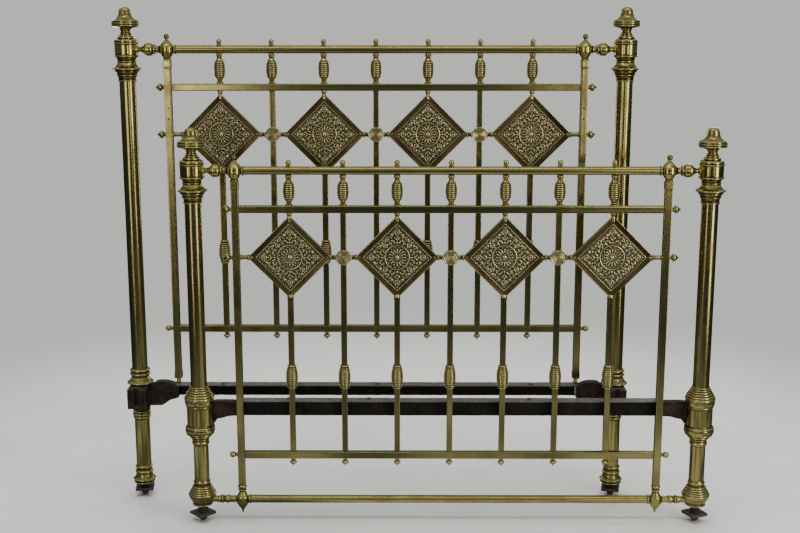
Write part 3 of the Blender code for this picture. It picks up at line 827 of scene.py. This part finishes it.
def make_column(end, k):
    axis = column_axis(end, k)
    top = rail_height(end)
    at_rail = axis + Vector((0, 0, top))
    low = top - (BOTTOM_RAIL_DROP - RAIL_CLEARANCE) * MM
    high = top - (SECOND_RAIL_DROP + RAIL_CLEARANCE) * MM
    if has_diamond(k):
        high = top - DIAMOND_DROP * MM - PLAQUE_CORNER - FERRULE_LENGTH * MM
    tube = bar(Shape(), SPINDLE_TUBE / 2, low, high, up(axis))
    node = f"{end}_spindle_{k}"
    shape_piece(f"spindle_{end}_{k}", tube, TARNISHED, end, node)
    turnings = turned(Shape(), DROP, SMALL, up(at_rail))
    turned(turnings, BALUSTER, MEDIUM, up(at_rail))
    turned(turnings, TOP_BALL, SMALL, up(at_rail))
    turned(turnings, COLLAR, MEDIUM, up(at_rail))
    shape_piece(f"turnings_{end}_{k}", turnings, POLISHED, end)
    if not has_diamond(k):
        boss = turned(Shape(), BOSS, MEDIUM, toward_viewer(at_rail - Vector((0, 0, DIAMOND_DROP * MM))))
        shape_piece(f"boss_{end}_{k}", boss, RUBBED, end)


# ---- plaques

FIELD_CELLS = 112
BACK_CELLS = 44
# Across the border, from the outer edge: (distance in, height toward the viewer), in millimetres
BORDER = [
    (0, 4.6), (0.25, 5.9), (0.7, 6.5), (1.2, 6.6), (1.7, 6.3), (2.3, 5.9), (5, 5.5), (8, 5.1),
    (11, 4.7), (13.6, 4.3), (14.2, 4.6), (14.6, 5.3), (15.2, 5.7), (15.8, 5.6), (16.3, 5), (16.6, 3.9),
]
FIELD_LEVEL = 3.7
# The back: lines of its grid across the border, and the border's heights at steps in from the edge
BACK_LEVEL = 5
BACK_EDGE = [0, 0.6, 1.4, 5, 10, 16.6]
BACK_STEPS = [0, 0.6, 1.4, 12, 16.6]
BACK_HEIGHTS = [4.6, 5.6, 6, 6, 5]
BACK_RIM = 14
BACK_RELIEF = 0.6
# How far in the border's plain stretch starts and ends, and how softly
PLAIN_START = 0.9
PLAIN_START_FADE = 0.8
PLAIN_END = 13.4
PLAIN_END_FADE = 0.5
RELIEF_FADE = 0.35
DIAGONAL = math.sqrt(0.5)


def knob(x, z, radius, height):
    """One round stamp. A stamp is its place, its radius and its height, in millimetres."""
    return [(x, z, radius, height)]


def stroke(points, wide, high):
    """Stamps along a line, thin at its ends."""
    found = []
    total = sum(math.dist(a, b) for a, b in zip(points, points[1:]))
    done = 0.0
    for a, b in zip(points, points[1:]):
        length = math.dist(a, b)
        count = max(2, math.ceil(length / 0.5))
        for k in range(count):
            t = (done + length * k / count) / total
            grow = math.sin(math.pi * min(1, max(0.06, t))) ** 0.5
            x = a[0] + (b[0] - a[0]) * k / count
            z = a[1] + (b[1] - a[1]) * k / count
            found.append((x, z, wide * max(0.45, grow), high * max(0.55, grow)))
        done += length
    return found


def ring(x, z, radius, wide, high):
    count = math.ceil(radius * 2 * math.pi / 0.6)
    turns = [2 * math.pi * k / count for k in range(count)]
    return [(x + radius * math.cos(a), z + radius * math.sin(a), wide, high) for a in turns]


def turned_stamps(stamps, angle):
    cos, sin = math.cos(angle), math.sin(angle)
    return [(x * cos - z * sin, x * sin + z * cos, wide, high) for x, z, wide, high in stamps]


def mirrored(stamps):
    return [(-x, z, wide, high) for x, z, wide, high in stamps]


def relief_stamps():
    """The plaque's ornament: a rosette in a ring, with leaves, rings and knobs round it."""
    stamps = ring(0, 0, 32.5, 1.5, 1.6) + ring(0, 0, 9.4, 0.9, 1.1) + knob(0, 0, 6.4, 3.4)
    for k in range(16):
        petal = stroke([(0, 11.5), (0, 20.5)], 1.5, 1.7) + knob(0, 21.4, 1.9, 2.1)
        stamps += turned_stamps(petal, k * math.pi / 8)
        tip = knob(0, 27, 1.5, 1.3)
        stamps += turned_stamps(tip, (k + 0.5) * math.pi / 8)
    # Toward each corner, drawn for the upper one
    corner = ring(0, 68.5, 6.6, 1.5, 2)
    corner += knob(0, 68.5, 2.9, 2.4) + knob(0, 80.5, 1.9, 1.6)
    corner += stroke([(0, 36.5), (0, 43)], 1.8, 1.9) + knob(0, 57, 2.2, 2)
    half = stroke([(0, 46.5), (3.4, 50.5), (7.2, 55)], 1.7, 2.1)
    half += stroke([(4.2, 37.5), (9, 43), (10.4, 48)], 1.6, 1.8)
    half += knob(14.4, 45, 2.5, 2.3) + knob(5.2, 78.4, 1.2, 1.2)
    half += knob(14.6, 60.6, 4, 3) + stroke([(8.4, 59.6), (10.6, 65), (9.8, 71.6)], 1.1, 1.4)
    half += stroke([(12.8, 51.2), (17, 53.6), (20.4, 58)], 1.3, 1.6)
    half += ring(27.2, 47.8, 3.4, 1.1, 1.7) + knob(27.2, 47.8, 1.3, 1.6)
    half += stroke([(13.6, 33), (17.8, 38.2), (21.6, 44)], 1.5, 1.7)
    half += knob(21.2, 36, 1.6, 1.6) + knob(20.4, 64.6, 1.2, 1.1)
    half += stroke([(21, 51.6), (24.4, 55.2), (29.6, 55.6)], 1.1, 1.4)
    corner += half + mirrored(half)
    # Toward the middle of each side
    side = ring(0, 46, 5.4, 1.4, 1.8) + knob(0, 46, 2.2, 2.2)
    side += stroke([(0, 35.6), (0, 39.6)], 1.5, 1.6) + stroke([(0, 53.2), (0, 59)], 1.7, 1.8)
    flank = knob(8.6, 53.6, 3.1, 2.6) + stroke([(3.2, 55.4), (5.4, 58.8), (9.8, 59.6)], 1, 1.3)
    side += flank + mirrored(flank)
    for k in range(4):
        stamps += turned_stamps(corner, k * math.pi / 2)
        stamps += turned_stamps(side, (k + 0.5) * math.pi / 2)
    return stamps


def relief_heights(across):
    """Height of the ornament over the field's grid, in millimetres. The grid is square to its edges."""
    size = len(across)
    u, v = np.meshgrid(across, across, indexing="ij")
    x, z = (u - v) * DIAGONAL, (u + v) * DIAGONAL
    heights = np.zeros((size, size))
    for sx, sz, wide, high in relief_stamps():
        near = 1 - ((x - sx) ** 2 + (z - sz) ** 2) / (wide * wide)
        heights = np.maximum(heights, high * np.sqrt(np.clip(near, 0, None)))
    return heights


def blurred(values, times):
    for _ in range(times):
        wide = np.pad(values, 1, mode="edge")
        near = wide[:-2, 1:-1] + wide[2:, 1:-1] + wide[1:-1, :-2] + wide[1:-1, 2:]
        values = (near + 4 * wide[1:-1, 1:-1]) / 8
    return values


def plaque_grid(cells, front):
    """Coordinates across the plaque from its edge, heights toward the viewer, cavity and ground marks."""
    half = PLAQUE_HALF / math.sqrt(2) / MM
    edge = [d for d, _ in BORDER] if front else BACK_EDGE
    inner = half - edge[-1]
    low_side = [d - half for d in edge]
    field = list(np.linspace(-inner, inner, cells + 1))[1:-1]
    across = np.array(low_side + field + [-d for d in reversed(low_side)])
    u, v = np.meshgrid(across, across, indexing="ij")
    inset = half - np.maximum(np.abs(u), np.abs(v))
    relief = blurred(relief_heights(across), 1)
    if front:
        border = np.interp(inset, edge, [h for _, h in BORDER])
        inside = inset > edge[-1] + 0.01
        heights = np.where(inside, FIELD_LEVEL + relief, border)
    else:
        inside = inset > BACK_RIM
        border = np.interp(inset, BACK_STEPS, BACK_HEIGHTS)
        heights = np.where(inside, BACK_LEVEL - BACK_RELIEF * blurred(relief, 3), border)
    cavity = np.clip((blurred(heights, 6) - heights) / RELIEF_FADE, -1, 1)
    ground = np.where(inside, np.clip(1 - relief / RELIEF_FADE, 0, 1), 0.0)
    frame_part = np.clip(1 - (inset - PLAIN_END) / PLAIN_END_FADE, 0, 1)
    frame_part *= np.clip((inset - PLAIN_START) / PLAIN_START_FADE, 0, 1)
    return across, heights, cavity, ground, frame_part


def plaque_points(across, heights, centre, toward):
    """The grid's points, turned on to its corner and clipped at the plaque's four tips."""
    points = []
    for i, u in enumerate(across):
        for j, v in enumerate(across):
            x = max(-PLAQUE_CORNER, min(PLAQUE_CORNER, (u - v) * DIAGONAL * MM))
            z = max(-PLAQUE_CORNER, min(PLAQUE_CORNER, (u + v) * DIAGONAL * MM))
            points.append((centre.x + x, centre.y + toward * heights[i, j] * MM, centre.z + z))
    return points


def rim_of(size):
    """Numbers of the points round a square grid's edge."""
    rim = [i * size for i in range(size)]
    rim += [(size - 1) * size + j for j in range(1, size)]
    rim += [i * size + size - 1 for i in range(size - 2, -1, -1)]
    return rim + list(range(size - 2, 0, -1))


def plaque_mesh(name, centre, grid, front):
    """One face of a plaque as a sheet with turned-in edges, from computed heights."""
    across, heights, cavity, ground, frame_part = grid
    size = len(across)
    toward = -1 if front else 1
    points = plaque_points(across, heights, centre, toward)
    corners = [i * size + j for i in range(size - 1) for j in range(size - 1)]
    faces = [(a, a + 1, a + size + 1, a + size) for a in corners]
    rim = rim_of(size)
    first = len(points)
    points += [(points[k][0], centre.y + toward * 0.1 * MM, points[k][2]) for k in rim]
    for k in range(len(rim)):
        n = (k + 1) % len(rim)
        faces.append((rim[k], rim[n], first + n, first + k))
    mesh = bpy.data.meshes.new(name)
    mesh.from_pydata(points, [], faces)
    filler = np.ones(len(rim))
    add_mark(mesh, "cavity", np.append(cavity.ravel(), -0.2 * filler))
    add_mark(mesh, "ground", np.append(ground.ravel(), 0 * filler))
    add_mark(mesh, "frame_part", np.append(frame_part.ravel(), filler))
    mesh.shade_smooth()
    mesh.set_sharp_from_angle(angle=PLAQUE_SHARP_ANGLE)
    face_outward(mesh, toward)
    return mesh


# From the plaque's middle, outward
PLAQUE_NECK = [
    (0, 98), (6.2, 98), (6.2, 107), (5.8, 109, -0.1), (5.8, 114.4), (6.8, 115.2, 0.8),
    (7.2, 117.6), (7.8, 118.2), (7.8, 119.8), (0, 120),
]
PLAQUE_COLLAR = [(0, 101), (7.6, 101), (8.8, 107.2, 0.8), (8.4, 109.6), (0, 110)]
# In metres, the square ferrule below the plaque: half its width, and where it starts
PLAQUE_FERRULE_HALF = 0.0085
PLAQUE_FERRULE_START = 0.109


def link_outline(reach):
    return [
        (0, 98), (6.4, 98), (6.2, 108), (7.8, 108.6, 0.8), (7.8, 111.6), (6.2, 112.2),
        (6, 113.6), (6, reach - 3.6), (7.2, reach - 2.8, 0.8), (7.2, reach - 0.4), (0, reach),
    ]


def make_plaque(end, k, front, back):
    centre = column_axis(end, k) + Vector((0, 0, rail_height(end) - DIAMOND_DROP * MM))
    node = f"{end}_diamond_{k}"
    mesh = plaque_mesh(f"plaque_{end}_{k}", centre, front, True)
    piece(f"plaque_{end}_{k}", mesh, EMBOSSED, end, node)
    mesh = plaque_mesh(f"plaque_back_{end}_{k}", centre, back, False)
    piece(f"plaque_back_{end}_{k}", mesh, EMBOSSED, end)
    to_boss = PITCH - BOSS_RADIUS - GAP / MM
    to_stile = PITCH - SQUARE_TUBE / 2 / MM - GAP / MM
    links = Shape()
    for sign in (-1, 1):
        outer = k == (COLUMNS[0] if sign < 0 else COLUMNS[-1])
        turned(links, link_outline(to_stile if outer else to_boss), SMALL, along_x(centre, sign))
    turned(links, PLAQUE_NECK, SMALL, up(centre))
    under = Matrix.Translation(centre) @ Matrix.Rotation(math.pi, 4, "X")
    turned(links, PLAQUE_COLLAR, SMALL, under)
    low, high = PLAQUE_FERRULE_START, (PLAQUE_CORNER / MM + FERRULE_LENGTH) * MM
    bar(links, PLAQUE_FERRULE_HALF, low, high, under, corner=1.6 * MM)
    shape_piece(f"plaque_links_{end}_{k}", links, POLISHED, end)


# ---- iron


# A casting's arm, in metres out from the post's axis: where it starts, and how soon it is full
ARM_START = 0.034
ARM_EASE = 0.012
ARM_SLOPE_END = 0.078
ARM_SLOPE_RUN = 0.035
# The shares of the casting's depth past the iron that are drawn in above and left below
ARM_TOP_DRAWN = 0.85
ARM_FOOT_LEFT = 0.12
ARM_SLOPE_LEFT = 0.28
IRON_END_RUN = 0.012
IRON_LENGTHENED = 0.0028
# The cast skin: where its lumps have their middle, and how strongly a bend marks it
LUMP_MIDDLE = 0.3
BEND_GAIN = 5


def held(value):
    return max(0.0, min(1.0, value))


def remeshed(node, voxel, smooth):
    """A copy of a CAD node's mesh in even small faces with eased edges."""
    copy = bpy.data.objects.new("work", frame["nodes"][node].data.copy())
    bpy.context.collection.objects.link(copy)
    step = copy.modifiers.new("remesh", "REMESH")
    step.mode = "VOXEL"
    step.voxel_size = voxel
    ease = copy.modifiers.new("ease", "SMOOTH")
    ease.factor = 0.5
    ease.iterations = smooth
    bpy.context.view_layer.update()
    shape = copy.evaluated_get(bpy.context.evaluated_depsgraph_get())
    mesh = bpy.data.meshes.new_from_object(shape)
    bpy.data.objects.remove(copy)
    return mesh


def roughened(node, voxel, depth, scale, smooth=2):
    """A CAD node's shape with eased edges and a cast or scaled skin."""
    mesh = remeshed(node, voxel, smooth)
    bm = bmesh.new()
    bm.from_mesh(mesh)
    bm.normal_update()
    bend = []
    for v in bm.verts:
        near = [e.other_vert(v).co for e in v.link_edges]
        average = sum(near, Vector()) / len(near)
        bend.append((average - v.co).dot(v.normal) / voxel)
    for v in bm.verts:
        lumps = noise.fractal(v.co * scale, 0.8, 2.0, 4)
        v.co += v.normal * depth * (lumps - LUMP_MIDDLE)
    bm.to_mesh(mesh)
    bm.free()
    add_mark(mesh, "cavity", [max(-1, min(1, value * BEND_GAIN)) for value in bend])
    mesh.shade_smooth()
    return mesh


def slim_arm(mesh, axis, iron_low, iron_top):
    """Draws a foot casting's arm in to the cross iron's depth, with a short slope up to it."""
    for v in mesh.vertices:
        out = abs(v.co.x - axis.x)
        share = held((out - ARM_START) / ARM_EASE)
        if v.co.z > iron_top:
            v.co.z -= share * ARM_TOP_DRAWN * (v.co.z - iron_top)
        if v.co.z < iron_low:
            left = ARM_FOOT_LEFT + ARM_SLOPE_LEFT * held((ARM_SLOPE_END - out) / ARM_SLOPE_RUN)
            v.co.z += share * (1 - left) * (iron_low - v.co.z)


def lengthen(mesh, by):
    """Moves both ends of the cross iron out, so its eased ends still meet the castings."""
    reach = max(abs(v.co.x) for v in mesh.vertices)
    for v in mesh.vertices:
        if abs(v.co.x) > reach - IRON_END_RUN:
            v.co.x += math.copysign(by, v.co.x)


def make_iron(end):
    iron_low, iron_top = (corner.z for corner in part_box(f"{end}_cross_iron"))
    iron_top -= STUD_HEIGHT
    for side in SIDES:
        node = f"{end}_corner_casting_{side}"
        mesh = roughened(node, 0.0014, 0.0008, 85)
        if end == "foot_end":
            slim_arm(mesh, post_axis(end, side), iron_low, iron_top)
        piece(f"casting_{end}_{side}", mesh, CASTING, end, node)
        node = f"{end}_castor_plate_{side}"
        mesh = roughened(node, 0.001, 0.0005, 120)
        body = f"{end}_castor_{side}"
        piece(f"castor_plate_{end}_{side}", mesh, PLATE, body, node)
    node = f"{end}_cross_iron"
    mesh = roughened(node, 0.0016, 0.0005, 60, smooth=1)
    lengthen(mesh, IRON_LENGTHENED)
    piece(f"cross_iron_{end}", mesh, IRON, end, node)


# ---- stage

BACKDROP = (0.6, 0.6, 0.585)
WARM = (1, 0.965, 0.88)
WHITE = (1, 1, 1)


def area_light(name, at, target, size, power, colour=WHITE):
    data = bpy.data.lights.new(name, "AREA")
    data.shape = "RECTANGLE"
    data.size, data.size_y = size
    data.energy = power
    data.color = colour
    light = bpy.data.objects.new(name, data)
    bpy.context.collection.objects.link(light)
    light.location = at
    light.visible_camera = False
    aim = Vector(target) - Vector(at)
    light.rotation_euler = aim.to_track_quat("-Z", "Y").to_euler()
    return light


def make_lights():
    area_light("left_strip", (-1.75, -2.4, 1.2), (0, 0, 1), (0.5, 2.3), 7.5, WARM)
    area_light("right_strip", (2.3, -1.9, 1.2), (0, 0, 1), (0.85, 2.3), 22, WARM)
    area_light("left_window", (-1.48, -4, 1.03), (-0.7, 0, 1.03), (0.6, 0.8), 3.4, WARM)
    area_light("right_window", (1.46, -4, 1.03), (0.7, 0, 1.03), (0.6, 0.8), 4, WARM)
    area_light("ceiling_strip", (0, -1, 3.4), (0, -0.1, 1.1), (3.2, 0.2), 7)
    for side, sign in SIDES.items():
        area_light(f"back_{side}", (sign * 1.7, 3.1, 1.2), (0, 0, 1), (0.4, 2), 9)
    overhead = area_light("overhead", (0, 0.2, 4.2), (0, 0.2, 0), (5, 5), 265)
    overhead.visible_glossy = False
    return overhead


def light_only_matt(light):
    """Keeps the overhead light to the floor and the iron: the brass doesn't mirror it."""
    matt = bpy.data.collections.new("matt_surfaces")
    for thing in bpy.data.objects:
        if thing.type == "MESH" and thing.active_material in MATT + [bpy.data.materials["floor_paint"]]:
            matt.objects.link(thing)
    light.light_linking.receiver_collection = matt


def make_world():
    """The backdrop as the camera sees it, and for reflections a dark room under a paler ceiling."""
    world = bpy.data.worlds.new("studio")
    bpy.context.scene.world = world
    world.cycles.sampling_method = "NONE"
    n = Nodes(world, "Generated")
    rise = {"Value": n.axis(n.place, "Z"), "From Min": 0.12, "From Max": 0.75}
    room = n.blend(n.node("MapRange", "Result", rise), (0.088, 0.104, 0.112), (0.38, 0.39, 0.385))
    lit = n.node("Background", 0, {"Color": room})
    seen = n.node("Background", 0, {"Color": BACKDROP})
    rays = n.node("LightPath", "Is Camera Ray", {})
    pick = n.node("MixShader", 0, {0: rays, 1: lit, 2: seen})
    n.feed(n.tree.nodes["World Output"].inputs["Surface"], pick)


def floor_material():
    """Pale and matt, fading to the backdrop's tone far off. Glossy rays, and other rays far off, see a
    glowing floor instead, which the brass reflects: painted patches of light in front of the ends and
    painted shade behind them and far off.
    """
    p = Paint("floor_paint")
    soft = p.noise(3, 3)
    colour = p.blend(p.level(soft, 0.3, 0.7), (0.6, 0.6, 0.58), (0.64, 0.64, 0.62))
    normal = p.bump(p.noise(90), 0.05, 0.001)
    p.finish(colour, 0.75, 0.0, normal)
    distance = p.node("VectorMath", "Value", {0: p.place}, operation="LENGTH")
    # Painted light for reflections: glowing patches on the floor in front of the ends, painted shade
    # behind them and farther off
    painted_light_patches = p.level(p.noise(1.9, 2), 0.42, 0.58, 0.12, 1)
    lit = p.times(painted_light_patches, p.level(p.axis(p.place, "Y"), -0.25, 0.2, 1, 0.2))
    near = p.blend(lit, (0.045, 0.052, 0.058), (0.47, 0.5, 0.52))
    dim = p.blend(p.level(distance, 0.9, 2.3), near, (0.026, 0.032, 0.038))
    tone = p.blend(p.node("LightPath", "Is Camera Ray", {}), dim, BACKDROP)
    glow = p.node("Emission", 0, {"Color": tone})
    faded = p.add(p.level(distance, 1.3, 2.6), p.node("LightPath", "Is Glossy Ray", {}))
    far = p.node("MixShader", 0, {0: faded, 1: p.shader.outputs[0], 2: glow})
    p.feed(p.tree.nodes["Material Output"].inputs["Surface"], far)
    p.material.cycles.emission_sampling = "NONE"
    return p.material


FLOOR_HALF = 30
FLOOR_DROP = 0.5 * MM


def make_floor():
    bm = bmesh.new()
    bmesh.ops.create_grid(bm, x_segments=40, y_segments=40, size=FLOOR_HALF)
    mesh = bpy.data.meshes.new("floor")
    bm.to_mesh(mesh)
    bm.free()
    mesh.materials.append(floor_material())
    floor = bpy.data.objects.new("floor", mesh)
    bpy.context.collection.objects.link(floor)
    floor.location = (0, 0, -FLOOR_DROP)


# Straight in front, level with the head end's crowns, looking a little down
CAMERA_LENS = 53.644
CAMERA_AT = (-0.0219, -3.23, 1.3404)
CAMERA_DIP = 0.19472
CAMERA_TURN = 0.00398


def make_camera():
    data = bpy.data.cameras.new("camera")
    data.lens = CAMERA_LENS
    data.sensor_width = 36
    camera = bpy.data.objects.new("camera", data)
    bpy.context.collection.objects.link(camera)
    camera.location = CAMERA_AT
    camera.rotation_euler = (math.pi / 2 - CAMERA_DIP, 0, CAMERA_TURN)
    bpy.context.scene.camera = camera


# ---- build


def main():
    make_camera()
    make_world()
    overhead = make_lights()
    make_floor()
    front = plaque_grid(FIELD_CELLS, True)
    back = plaque_grid(BACK_CELLS, False)
    for end in ENDS:
        for side in SIDES:
            make_post(end, side)
            make_stile(end, side)
        make_rails(end)
        make_iron(end)
        for k in COLUMNS:
            make_column(end, k)
            if has_diamond(k):
                make_plaque(end, k, front, back)
    light_only_matt(overhead)


main()
